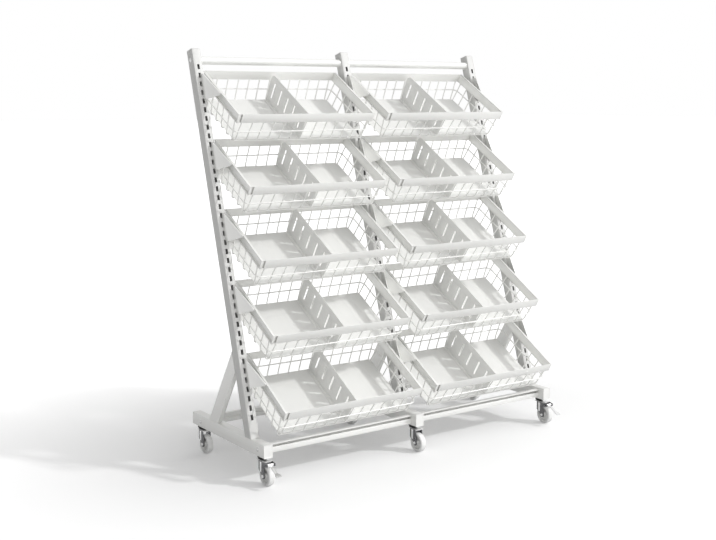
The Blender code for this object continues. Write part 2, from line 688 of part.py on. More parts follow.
def pedal_mesh():
    """A bent tongue on a barrel, with a shoe that points at the wheel; the origin is on the pin's axis."""
    half = PEDAL_WIDTH / 2
    line = [
        (-BARREL_RADIUS / 2, 0.0), (-PEDAL_REACH * 0.30, -PEDAL_FALL * 0.15),
        (-PEDAL_REACH * 0.68, -PEDAL_FALL * 0.72), (-PEDAL_REACH, -PEDAL_FALL),
    ]
    bm = bmesh.new()
    rows = [[bm.verts.new((x, y, z)) for x in (-half, half)] for y, z in line]
    for a, b in zip(rows, rows[1:]):
        bm.faces.new((a[0], a[1], b[1], b[0]))
    blank = add_object("pedal_blank", mesh_of("brake_pedal", bm), zinc_plate())
    thicken(blank, PEDAL_THICKNESS, 0)
    barrel = bmesh.new()
    barrel_half = HUB_WIDTH / 2
    add_rod(barrel, (-barrel_half, 0, 0), (barrel_half, 0, 0), BARREL_RADIUS)
    to_axle = Vector((0, -CASTER_TRAIL - PIVOT_Y, WHEEL_RADIUS - PIVOT_Z))
    reach = to_axle.length - WHEEL_RADIUS - RUN
    shoe = bmesh.new()
    add_box(shoe, (-half, -SHOE_THICKNESS / 2, -reach), (half, SHOE_THICKNESS / 2, 0))
    shoe.transform(Matrix.Rotation(atan2(to_axle.y, -to_axle.z), 4, "X"))
    bore = bmesh.new()
    add_rod(bore, (-2 * half, 0, 0), (2 * half, 0, 0), PIVOT_RADIUS + RUN)
    boolean(blank, tool("pedal_barrel", barrel), "UNION")
    boolean(blank, tool("pedal_shoe", shoe), "UNION")
    boolean(blank, tool("pedal_bore", bore), "DIFFERENCE")
    return settled_mesh(blank)


def make_casters():
    """A swivel fork and wheel near both ends of every leg, and pedals on the outer front ones."""
    forks = {braked: fork_mesh(braked) for braked in (False, True)}
    wheel, pedal = wheel_mesh(), pedal_mesh()
    rows = (("front", FRONT_Y + CASTER_INSET), ("rear", FRONT_Y + LEG_LENGTH - CASTER_INSET))
    for row, y in rows:
        for side, x in zip(SIDE_NAMES, FRAME_XS):
            name = f"{row}_{side}"
            braked = row == "front" and x != 0
            swivel = bpy.data.objects.new(f"swivel_{name}", None)
            PARTS.objects.link(swivel)
            swivel.location = (x, y, 0)
            pieces = [
                (add_object(f"caster_fork_{name}", forks[braked], zinc_plate()), (0, 0, 0)),
                (add_object(f"caster_wheel_{name}", wheel, pale_nylon()), (0, -CASTER_TRAIL, WHEEL_RADIUS)),
            ]
            if braked:
                pieces.append((add_object(f"brake_pedal_{name}", pedal, zinc_plate()), (0, PIVOT_Y, PIVOT_Z)))
            for piece, place in pieces:
                piece.parent = swivel
                piece.location = place


def main():
    start_scene()
    make_legs()
    make_uprights()
    make_braces()
    make_top_tubes()
    make_base_rails()
    make_baskets()
    make_basket_floors()
    make_dividers()
    make_casters()


main()
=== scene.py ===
"""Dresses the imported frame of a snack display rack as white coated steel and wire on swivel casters."""

import logging
from collections.abc import Iterable, Iterator, Sequence
from dataclasses import dataclass
from enum import Enum
from math import cos, pi, radians, sin, tan

import bmesh
import bpy
from bmesh.types import BMesh, BMEdge, BMVert
from mathutils import Matrix, Vector


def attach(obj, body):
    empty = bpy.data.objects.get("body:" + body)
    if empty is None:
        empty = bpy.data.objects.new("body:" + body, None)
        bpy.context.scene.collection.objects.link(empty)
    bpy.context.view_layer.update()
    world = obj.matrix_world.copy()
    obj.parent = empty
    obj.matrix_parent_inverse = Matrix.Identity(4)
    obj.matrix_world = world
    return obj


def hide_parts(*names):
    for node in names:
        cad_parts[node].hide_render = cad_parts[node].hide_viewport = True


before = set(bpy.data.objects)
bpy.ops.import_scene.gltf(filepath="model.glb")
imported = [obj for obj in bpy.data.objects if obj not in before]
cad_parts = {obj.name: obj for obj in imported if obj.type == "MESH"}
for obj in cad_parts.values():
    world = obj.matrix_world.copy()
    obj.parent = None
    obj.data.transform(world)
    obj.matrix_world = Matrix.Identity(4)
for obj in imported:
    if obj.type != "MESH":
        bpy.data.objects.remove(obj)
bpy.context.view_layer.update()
LOG = logging.getLogger("snack_display_rack")

Point2 = tuple[float, float]
Colour = tuple[float, float, float]

# Points closer than WELD are one point, and places closer than NEAR count as the same, in metres.
WELD = 1e-6
NEAR = 1e-4
# Faces that meet at more than SHARP make a corner, and each facet of a wire's bend turns by about BEND_STEP.
SHARP = 1.0
BEND_STEP = 0.35
SMOOTH_BELOW = radians(35)
WHITE = (1.0, 1.0, 1.0, 1.0)
# Turns what was built about Z so that it lies along X.
ACROSS = Matrix.Rotation(pi / 2, 4, "Y")


class Named(Enum):
    """Members whose names the frame's nodes spell in small letters."""

    @property
    def word(self) -> str:
        """The member's name as the nodes spell it."""
        return self.name.lower()


class Side(Named):
    """The three side frames, by the multiple of the bay pitch at which each stands."""

    LEFT = -1
    CENTRE = 0
    RIGHT = 1


class Bay(Named):
    """The two bays between the side frames, by the multiple of the bay pitch at their middles."""

    LEFT = -0.5
    RIGHT = 0.5


class Row(Named):
    """The front and rear rows of rails and casters, by the sign of the way inwards along Y."""

    FRONT = 1
    REAR = -1


class Graph:
    """Adds nodes to one node tree and links them."""

    def __init__(self, tree: bpy.types.NodeTree) -> None:
        """Takes the node tree to work on."""
        self.tree = tree

    def fill(self, target: bpy.types.NodeSocket, value: object) -> None:
        """Links an input to the socket that is given, or sets it to the value."""
        if isinstance(value, bpy.types.NodeSocket):
            self.tree.links.new(value, target)
        else:
            target.default_value = value

    def feed(self, node: bpy.types.Node, **values: object) -> None:
        """Fills a node's inputs with values or links, by name with underscores for spaces."""
        for name, value in values.items():
            self.fill(node.inputs[name.replace("_", " ")], value)

    def add(self, kind: str, *operands: object, operation: str = "", **values: object) -> bpy.types.Node:
        """Adds a node and fills its inputs with values or links.

        Args:
            kind: The node's type name.
            operands: Values or sockets for its first inputs, in order.
            operation: What a Math or Vector Math node does.
            values: Values or sockets, by input name with underscores for spaces.

        Returns:
            The new node.
        """
        node = self.tree.nodes.new(kind)
        if operation:
            node.operation = operation
        for target, value in zip(node.inputs, operands):
            self.fill(target, value)
        self.feed(node, **values)
        return node

    def math(self, operation: str, *operands: object) -> bpy.types.NodeSocket:
        """Adds a Math node and returns its result."""
        return self.add("ShaderNodeMath", *operands, operation=operation).outputs[0]

    def vector(self, operation: str, *operands: object, **values: object) -> bpy.types.bpy_prop_collection:
        """Adds a Vector Math node and returns its outputs."""
        return self.add("ShaderNodeVectorMath", *operands, operation=operation, **values).outputs


def coat_grain_group() -> bpy.types.ShaderNodeTree:
    """The fine skin of a sprayed, plated or moulded surface, with slow changes of tone.

    Returns:
        A group that puts out a varied colour, a varied roughness and a height for a bump.
    """
    name = "coat_grain"
    if name in bpy.data.node_groups:
        return bpy.data.node_groups[name]
    tree = bpy.data.node_groups.new(name, "ShaderNodeTree")
    inputs = ("Colour", "Roughness", "Grain Scale", "Tone Scale", "Spread")
    outputs = ("Colour", "Roughness", "Height")
    for direction, sockets in (("INPUT", inputs), ("OUTPUT", outputs)):
        for socket in sockets:
            kind = "NodeSocketColor" if socket == "Colour" else "NodeSocketFloat"
            tree.interface.new_socket(name=socket, in_out=direction, socket_type=kind)
    graph = Graph(tree)
    given = graph.add("NodeGroupInput").outputs
    place, noise = graph.add("ShaderNodeTexCoord").outputs["Object"], "ShaderNodeTexNoise"
    grain = graph.add(noise, Vector=place, Scale=given["Grain Scale"], Detail=2.0, Roughness=0.5)
    tone = graph.add(noise, Vector=place, Scale=given["Tone Scale"], Detail=3.0, Roughness=0.55)
    swing = graph.math("MULTIPLY", graph.math("SUBTRACT", tone.outputs["Fac"], 0.5), given["Spread"])
    colour = graph.vector("SCALE", given["Colour"], Scale=graph.math("ADD", swing, 1.0))["Vector"]
    rough = graph.math("ADD", given["Roughness"], swing)
    graph.add("NodeGroupOutput", Colour=colour, Roughness=rough, Height=grain.outputs["Fac"])
    return tree


@dataclass(frozen=True)
class Finish:
    """A surface finish, as one Principled material over the shared coat grain."""

    name: str
    slot: str
    colour: Colour
    roughness: float
    metallic: float = 0.0
    grain_scale: float = 900.0
    grain_depth: float = 0.02
    grain_height: float = 0.001
    tone_scale: float = 9.0
    spread: float = 0.02

    def material(self) -> bpy.types.Material:
        """Returns the finish's material, made on first use."""
        found = bpy.data.materials.get(self.name)
        if found:
            return found
        made = bpy.data.materials.new(self.name)
        made.use_nodes = True
        graph = Graph(made.node_tree)
        skin = graph.add("ShaderNodeGroup")
        skin.node_tree = coat_grain_group()
        graph.feed(
            skin, Colour=(*self.colour, 1.0), Roughness=self.roughness, Grain_Scale=self.grain_scale,
            Tone_Scale=self.tone_scale, Spread=self.spread,
        )
        out = skin.outputs
        bump = graph.add(
            "ShaderNodeBump", Strength=self.grain_depth, Distance=self.grain_height, Height=out["Height"],
        )
        graph.feed(
            made.node_tree.nodes["Principled BSDF"], Metallic=self.metallic, Base_Color=out["Colour"],
            Roughness=out["Roughness"], Normal=bump.outputs["Normal"],
        )
        return made


POWDER_COAT = Finish("white_powder_coat", "white_powder_coat", (0.80, 0.80, 0.785), 0.42, grain_depth=0.05)
# A darker copy of the white powder coat for the uprights: painted shade that keeps their front faces below
# full white.
UPRIGHT_PAINTED_SHADE_COAT = Finish("white_coat_painted_shade", "white_powder_coat", (0.69, 0.69, 0.675), 0.42, grain_depth=0.05)
# A lighter copy of the white powder coat for the dividers: painted light that stands in for light bounced
# round inside the baskets.
DIVIDER_PAINTED_LIGHT_COAT = Finish("white_divider_coat", "white_powder_coat", (0.90, 0.90, 0.88), 0.5, grain_depth=0.04)
SHEET_COAT = Finish("white_sheet_coat", "white_powder_coat", (0.86, 0.86, 0.84), 0.5, grain_depth=0.04)
# A dark copy of the zinc plate for the fork's arms: a painted dark reflection, set against the lighter zinc
# of the ribs and crown.
ZINC_PAINTED_REFLECTION = Finish(
    "zinc_plate", "zinc_plated_steel", (0.17, 0.17, 0.175), 0.25,
    metallic=1.0, grain_scale=300.0, grain_depth=0.03, tone_scale=60.0, spread=0.25,
)
# A light copy of the zinc plate for the crown, the ribs, the axle's bolt heads and the brake pedals: a
# painted highlight against the dark arms.
ZINC_PAINTED_HIGHLIGHT = Finish(
    "bright_zinc_plate", "zinc_plated_steel", (0.84, 0.84, 0.84), 0.3,
    metallic=1.0, grain_scale=300.0, tone_scale=60.0, spread=0.06,
)
BOLT_STEEL = Finish(
    "bright_bolt_steel", "zinc_plated_steel", (0.58, 0.58, 0.58), 0.28,
    metallic=1.0, grain_scale=400.0, tone_scale=80.0, spread=0.12,
)
# Near black for the bearing head: painted shade in the gap between the crown and the leg.
HEAD_PAINTED_SHADE = Finish("head_painted_shade", "zinc_plated_steel", (0.03, 0.03, 0.03), 0.6, grain_scale=500.0)
NYLON = Finish("pale_nylon", "pale_nylon", (0.72, 0.72, 0.71), 0.48, grain_scale=500.0, spread=0.05)
TREAD = Finish("pale_tread", "pale_nylon", (0.86, 0.86, 0.85), 0.55, grain_scale=700.0, spread=0.04)
END_PLUG = Finish("white_end_plug", "white_powder_coat", (0.76, 0.76, 0.75), 0.5, grain_scale=600.0)


def verts_in(geom: Iterable[object]) -> list[BMVert]:
    """Returns the vertices among what an operator gave back."""
    return [item for item in geom if isinstance(item, BMVert)]


def edges_in(geom: Iterable[object]) -> list[BMEdge]:
    """Returns the edges among what an operator gave back."""
    return [item for item in geom if isinstance(item, BMEdge)]


def sharp_edges(bm: BMesh) -> list[BMEdge]:
    """Returns the edges at which two faces make a corner."""
    return [edge for edge in bm.edges if edge.is_manifold and edge.calc_face_angle() > SHARP]


def spaced(count: int, run: float) -> list[float]:
    """Returns places that are evenly spaced over a run, about its middle."""
    return [(i / (count - 1) - 0.5) * run for i in range(count)]


def arc(centre: Point2, radius: float, start: float, turn: float, facets: int) -> list[Point2]:
    """Returns points along an arc, from its start angle through its turn."""
    angles = [start + turn * step / facets for step in range(facets + 1)]
    return [(centre[0] + radius * cos(angle), centre[1] + radius * sin(angle)) for angle in angles]


def mirrored(profile: Sequence[Point2]) -> list[Point2]:
    """Returns a profile of (radius, height) points carried on to the other side of height 0."""
    return [*profile, *((radius, -height) for radius, height in reversed(profile))]


def linked(name: str, data: bpy.types.ID) -> bpy.types.Object:
    """Returns a new object of the data given, which it puts into the scene."""
    made = bpy.data.objects.new(name, data)
    bpy.context.scene.collection.objects.link(made)
    return made


def mesh_of(bm: BMesh, name: str) -> bpy.types.Mesh:
    """Returns a shape as a mesh, which uses the shape up."""
    mesh = bpy.data.meshes.new(name)
    bm.to_mesh(mesh)
    bm.free()
    return mesh


def absorb(target: BMesh, source: BMesh) -> None:
    """Moves one bmesh into another, which uses it up."""
    passing = mesh_of(source, "passing")
    target.from_mesh(passing)
    bpy.data.meshes.remove(passing)


def placed(bm: BMesh, place: Matrix) -> BMesh:
    """Moves a shape to its place and returns it."""
    bm.transform(place)
    return bm


def copy_of(bm: BMesh, place: Matrix) -> BMesh:
    """Returns a placed copy of a shape that is used again."""
    return placed(bm.copy(), place)


def face_out(bm: BMesh) -> None:
    """Turns every face of a shape outwards."""
    bmesh.ops.recalc_face_normals(bm, faces=bm.faces)


def round_off(
    bm: BMesh, geom: Iterable[BMEdge | BMVert], radius: float, segments: int = 2, affect: str = "EDGES",
) -> None:
    """Rounds edges, or the corners of a flat sheet.

    Args:
        bm: The bmesh that holds them.
        geom: The edges or vertices to round.
        radius: How far the rounding reaches to each side.
        segments: Its number of facets.
        affect: EDGES or VERTICES.
    """
    bmesh.ops.bevel(
        bm, geom=list(geom), offset=radius, offset_type="OFFSET", segments=segments, profile=0.5,
        affect=affect, material=-1, clamp_overlap=True,
    )


def thicken(bm: BMesh, sweep: Sequence[float]) -> None:
    """Sweeps a flat shape straight, so that it becomes a solid."""
    swept = bmesh.ops.extrude_face_region(bm, geom=list(bm.faces))["geom"]
    bmesh.ops.translate(bm, verts=verts_in(swept), vec=sweep)
    face_out(bm)


def box(low: Sequence[float], high: Sequence[float]) -> BMesh:
    """Returns a plain box between its lowest and its highest corner."""
    low, high = Vector(low), Vector(high)
    bm = bmesh.new()
    place = Matrix.Translation((low + high) / 2) @ Matrix.Diagonal((*(high - low), 1.0))
    bmesh.ops.create_cube(bm, size=1.0, matrix=place)
    return bm


def bar(low: Sequence[float], high: Sequence[float], edge: float = 0.0004) -> BMesh:
    """Returns a box whose edges are rounded by the length given."""
    bm = box(low, high)
    round_off(bm, bm.edges, edge)
    return bm


def prism(outline: Sequence[Sequence[float]], sweep: Sequence[float], edge: float) -> BMesh:
    """Returns a flat outline swept straight, with every edge rounded by the length given."""
    bm = bmesh.new()
    bm.faces.new([bm.verts.new(point) for point in outline])
    thicken(bm, sweep)
    round_off(bm, bm.edges, edge)
    return bm


def turned(profile: Sequence[Point2], segments: int = 40) -> BMesh:
    """A shape turned about Z.

    Args:
        profile: Points as (radius, height); it closes on itself unless it starts and ends on the axis.
        segments: Facets of a full turn.

    Returns:
        The closed shape.
    """
    bm = bmesh.new()
    verts = [bm.verts.new((radius, 0, height)) for radius, height in profile]
    pairs = list(zip(verts, verts[1:]))
    if profile[0][0] > 0:
        pairs.append((verts[-1], verts[0]))
    edges = [bm.edges.new(pair) for pair in pairs]
    bmesh.ops.spin(
        bm, geom=verts + edges, cent=(0, 0, 0), axis=(0, 0, 1), angle=2 * pi, steps=segments, use_merge=True,
    )
    bmesh.ops.remove_doubles(bm, verts=bm.verts, dist=WELD)
    face_out(bm)
    return bm


def bent_wire(
    points: Sequence[Sequence[float]], radius: float, bend: float, closed: bool = False, sides: int = 8,
) -> BMesh:
    """A round wire, fed straight and bent at each corner.

    Args:
        points: The corners of its path; a closed path starts in the middle of a straight run.
        radius: The wire's radius.
        bend: The bends' radius at the wire's middle.
        closed: Whether the wire's ends meet.
        sides: Facets round the wire.

    Returns:
        The wire.
    """
    path = [Vector(point) for point in points]
    if closed:
        path.append(path[0])
    runs = [(b - a).normalized() for a, b in zip(path, path[1:])]
    bm = bmesh.new()
    start = Matrix.Translation(path[0]) @ runs[0].to_track_quat("Z", "Y").to_matrix().to_4x4()
    bmesh.ops.create_circle(bm, cap_ends=False, radius=radius, segments=sides, matrix=start)
    edges = list(bm.edges)
    at = path[0]
    for i, run in enumerate(runs):
        angle = run.angle(runs[i + 1]) if i + 1 < len(runs) else 0.0
        setback = bend * tan(angle / 2)
        step = path[i + 1] - run * setback - at
        fed = bmesh.ops.extrude_edge_only(bm, edges=edges)["geom"]
        bmesh.ops.translate(bm, verts=verts_in(fed), vec=step)
        edges = edges_in(fed)
        at = at + step
        if angle:
            axis = run.cross(runs[i + 1]).normalized()
            centre = at + axis.cross(run) * bend
            steps = max(2, round(angle / BEND_STEP))
            spun = bmesh.ops.spin(bm, geom=edges, cent=centre, axis=axis, angle=angle, steps=steps)
            edges = edges_in(spun["geom_last"])
            at = path[i + 1] + runs[i + 1] * setback
    if closed:
        bmesh.ops.remove_doubles(bm, verts=bm.verts, dist=radius / 20)
    else:
        bmesh.ops.holes_fill(bm, edges=bm.edges, sides=sides)
    face_out(bm)
    return bm


def show(name: str, bm: BMesh, finish: Finish, body: str, nodes: Sequence[str] = ()) -> None:
    """Makes a shape into a piece of the rack.

    Args:
        name: The piece's name.
        bm: Its shape, in place; it is used up.
        finish: Its surface finish.
        body: The frame body it moves with.
        nodes: The frame nodes it stands for.
    """
    mesh = mesh_of(bm, name)
    mesh.shade_smooth()
    mesh.set_sharp_from_angle(angle=SMOOTH_BELOW)
    mesh.materials.append(finish.material())
    piece = linked(name, mesh)
    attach(piece, body)
    if nodes:
        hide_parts(*nodes)
    LOG.info("%s rides on %s", name, body)


@dataclass(frozen=True)
class RackLayout:
    """Where the rack's sub-assemblies stand, in metres, with +Y to the back."""

    bay_pitch: float = 0.704
    front_y: float = -0.25975
    leg_width: float = 0.038
    leg_height: float = 0.050
    leg_length: float = 0.562
    leg_underside: float = 0.104
    upright_width: float = 0.038
    upright_depth: float = 0.044
    upright_length: float = 1.519
    upright_wall: float = 0.002
    upright_setback: float = 0.0944
    lean: float = radians(16.8)
    touch: float = 0.0003
    tiers: int = 5
    slot_length: float = 0.020
    slot_pitch: float = 0.035
    first_slot: float = 0.0757
    tier_slots: int = 8
    top_hook_slot: int = 2
    hook_below_rim: float = 0.027
    basket_tilt: float = radians(30.8)

    @property
    def foot(self) -> Vector:
        """The middle of an upright's front edge where it stands on its leg."""
        top = self.leg_underside + self.leg_height + self.touch
        return Vector((0.0, self.front_y + self.upright_setback, top))

    @property
    def along(self) -> Vector:
        """The direction up the uprights."""
        return Vector((0.0, sin(self.lean), cos(self.lean)))

    def side_x(self, side: Side) -> float:
        """The middle of a side frame."""
        return side.value * self.bay_pitch

    def upright_place(self, side: Side) -> Matrix:
        """The frame of an upright's front face, Z running up the tube."""
        spot = self.foot + Vector((self.side_x(side), 0, 0))
        return Matrix.Translation(spot) @ Matrix.Rotation(-self.lean, 4, "X")

    def slot_height(self, index: int) -> float:
        """The height up the tube of a slot's middle, counted from the top."""
        return self.upright_length - self.first_slot - index * self.slot_pitch

    def baskets(self) -> Iterator[tuple[str, Matrix]]:
        """Goes through the baskets, from the top tier down.

        Yields:
            A basket's bay and tier, as in left_1, and its frame, where the rim crosses the uprights' front
            faces, with Y to the rear rim and Z out of the basket.
        """
        turn = Matrix.Rotation(self.basket_tilt, 4, "X")
        for tier in range(self.tiers):
            up = self.slot_height(self.top_hook_slot + tier * self.tier_slots) + self.hook_below_rim
            for bay in Bay:
                spot = self.foot + self.along * up + Vector((bay.value * self.bay_pitch, 0, 0))
                yield f"{bay.word}_{tier + 1}", Matrix.Translation(spot) @ turn


@dataclass
class SteelFrame:
    """The welded side frames and the tubes and rails that join them."""

    layout: RackLayout
    corner: float = 0.003
    slot_width: float = 0.010
    slot_count: int = 40
    cap: float = 0.003
    plug_line: float = 0.0028
    plug_recess: float = 0.0007
    brace_corner: float = 0.0025
    brace_edge: float = 0.2
    top_tube_radius: float = 0.016
    top_tube_drop: float = 0.0435
    bolt_head: Sequence[Point2] = (
        (0.0, 0.0028), (0.0025, 0.0028), (0.0045, 0.0022), (0.0055, 0.0009), (0.0075, 0.0009),
        (0.008, 0.0005), (0.008, 0.0), (0.0, 0.0),
    )
    rail_bolts: Sequence[Point2] = ((0.046, 0.025), (0.494, 0.023))
    rail_depth: float = 0.030
    rail_height: float = 0.034
    rail_step: float = 0.011
    rail_ledge: float = 0.016
    rail_edge: float = 0.0006
    rail_groove: Point2 = (0.0205, 0.0290)
    groove_depth: float = 0.0172
    groove_floor: float = 0.006
    groove_lip: float = 0.002
    body: str = "frame"

    def leg(self, side: Side) -> None:
        """Shows one base leg, a tube with rounded edges and a plug in both ends."""
        layout = self.layout
        x, half, low = layout.side_x(side), layout.leg_width / 2, layout.leg_underside
        front, rear = layout.front_y, layout.front_y + layout.leg_length
        bm = box((x - half, front, low), (x + half, rear, low + layout.leg_height))
        round_off(bm, [e for e in bm.edges if e.calc_length() > layout.leg_length / 2], self.corner, 3)
        ends = [face for face in bm.faces if abs(face.normal.y) > 0.9]
        bmesh.ops.inset_individual(bm, faces=ends, thickness=self.plug_line, depth=0.0)
        bmesh.ops.inset_individual(bm, faces=ends, thickness=self.plug_recess, depth=-self.plug_recess)
        show(f"leg_tube_{side.word}", bm, POWDER_COAT, self.body, [f"base_leg_{side.word}"])

    def upright_shell(self) -> BMesh:
        """Builds the slotted tube once, standing at the origin, open at its foot and in its slots."""
        layout, r = self.layout, self.corner
        side, rear = layout.upright_width / 2 - r, layout.upright_depth - r
        ring = []
        for quarter, centre in enumerate(((side, rear), (-side, rear), (-side, r), (side, r))):
            ring += arc(centre, r, pi / 2 * quarter, pi / 2, facets=3)
            if centre == (-side, r):
                ring += [(-self.slot_width / 2, 0.0), (self.slot_width / 2, 0.0)]
        bm = bmesh.new()
        verts = [bm.verts.new((x, y, y * tan(layout.lean))) for x, y in ring]
        edges = [bm.edges.new((a, b)) for a, b in zip(verts, verts[1:] + verts[:1])]
        slots = [layout.slot_height(index) for index in range(self.slot_count)]
        levels = [z + end * layout.slot_length / 2 for z in slots for end in (-1, 1)]
        for level in sorted([*levels, layout.upright_length - self.cap]):
            raised = bmesh.ops.extrude_edge_only(bm, edges=edges)["geom"]
            edges = edges_in(raised)
            for vert in verts_in(raised):
                vert.co.z = level
        cut = []
        for face in bm.faces:
            middle = face.calc_center_median()
            if abs(middle.x) < NEAR and middle.y < NEAR and any(abs(middle.z - z) < NEAR for z in slots):
                cut.append(face)
        bmesh.ops.delete(bm, geom=cut, context="FACES")
        face_out(bm)
        bmesh.ops.solidify(bm, geom=list(bm.faces), thickness=layout.upright_wall)
        return bm

    def uprights(self) -> None:
        """Shows the slotted uprights, in a darker copy of the coat that paints shade on them, and the caps
        that close their tops.
        """
        layout = self.layout
        shell = self.upright_shell()
        half, depth, top = layout.upright_width / 2, layout.upright_depth, layout.upright_length
        for side in Side:
            place = layout.upright_place(side)
            node = f"slotted_upright_{side.word}"
            # The upright tubes wear the darker copy of the coat, which is painted shade.
            show(f"upright_tube_{side.word}", copy_of(shell, place), UPRIGHT_PAINTED_SHADE_COAT, self.body, [node])
            lid = bar((-half, 0, top - self.cap), (half, depth, top), self.corner / 2)
            show(f"upright_cap_{side.word}", placed(lid, place), END_PLUG, self.body)
        shell.free()

    def braces(self) -> None:
        """Shows the rear braces, copies of the frame's with their long outer edges rounded."""
        for side in Side:
            node = f"rear_brace_{side.word}"
            bm = bmesh.new()
            bm.from_mesh(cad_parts[node].data)
            bmesh.ops.remove_doubles(bm, verts=bm.verts, dist=10 * WELD)
            bmesh.ops.dissolve_limit(bm, angle_limit=0.01, verts=bm.verts, edges=bm.edges)
            edges = [e for e in sharp_edges(bm) if e.is_convex and e.calc_length() > self.brace_edge]
            round_off(bm, edges, self.brace_corner, 3)
            show(f"brace_tube_{side.word}", bm, POWDER_COAT, self.body, [node])

    def rail_section(self) -> list[Point2]:
        """The rail's outline as (inward, up) points, stepped inside and with a lipped groove outside."""
        outer, inner = -self.rail_depth / 2, self.rail_depth / 2
        riser, (low, high) = inner - self.rail_step, self.rail_groove
        back, lip = outer + self.groove_depth, outer + self.groove_lip
        return [
            (outer, 0.0), (inner, 0.0), (inner, self.rail_ledge), (riser, self.rail_ledge),
            (riser, self.rail_height), (outer, self.rail_height), (outer, high), (back, high),
            (back, self.groove_floor), (lip, self.groove_floor), (lip, low), (outer, low),
        ]

    def rails(self) -> None:
        """Shows the base rails between the legs."""
        layout = self.layout
        length = layout.bay_pitch - layout.leg_width - 2 * layout.touch
        base = layout.leg_underside + (layout.leg_height - self.rail_height) / 2
        for row, (bolt, _) in zip(Row, self.rail_bolts):
            for bay in Bay:
                start = Vector((bay.value * layout.bay_pitch - length / 2, layout.front_y + bolt, base))
                points = [start + Vector((0, row.value * y, z)) for y, z in self.rail_section()]
                rail = prism(points, (length, 0, 0), self.rail_edge)
                node = f"{row.word}_base_rail_{bay.word}"
                show(f"stepped_rail_{row.word}_{bay.word}", rail, POWDER_COAT, self.body, [node])

    @property
    def top_tube_middle(self) -> Vector:
        """Where the top tubes' axis crosses the middle of the rack."""
        layout = self.layout
        back = Vector((0.0, cos(layout.lean), -sin(layout.lean)))
        up = layout.upright_length - self.top_tube_drop
        return layout.foot + layout.along * up + back * (layout.upright_depth / 2)

    def top_tubes(self) -> None:
        """Shows the round tubes between the uprights."""
        layout, radius = self.layout, self.top_tube_radius
        length = layout.bay_pitch - layout.upright_width - 2 * layout.touch
        for bay in Bay:
            spot = self.top_tube_middle + Vector((bay.value * layout.bay_pitch, 0, 0))
            bm = bmesh.new()
            bmesh.ops.create_cone(
                bm, cap_ends=True, segments=48, radius1=radius, radius2=radius, depth=length,
                matrix=Matrix.Translation(spot) @ ACROSS,
            )
            show(f"round_tube_{bay.word}", bm, POWDER_COAT, self.body, [f"top_tube_{bay.word}"])

    def bolts(self) -> None:
        """Shows the bolt heads on the outer faces of the outer side frames."""
        layout, top = self.layout, self.top_tube_middle
        spots = [(layout.front_y + y, layout.leg_underside + z) for y, z in self.rail_bolts]
        for side in (Side.LEFT, Side.RIGHT):
            x = layout.side_x(side) + side.value * layout.leg_width / 2
            turn = Matrix.Rotation(side.value * pi / 2, 4, "Y")
            heads = bmesh.new()
            for y, z in [*spots, (top.y, top.z)]:
                spot = Matrix.Translation((x, y, z))
                absorb(heads, placed(turned(self.bolt_head, segments=24), spot @ turn))
            show(f"bolt_heads_{side.word}", heads, BOLT_STEEL, self.body)

    def build(self) -> None:
        """Shows the whole frame."""
        for side in Side:
            self.leg(side)
        self.uprights()
        self.braces()
        self.rails()
        self.top_tubes()
        self.bolts()


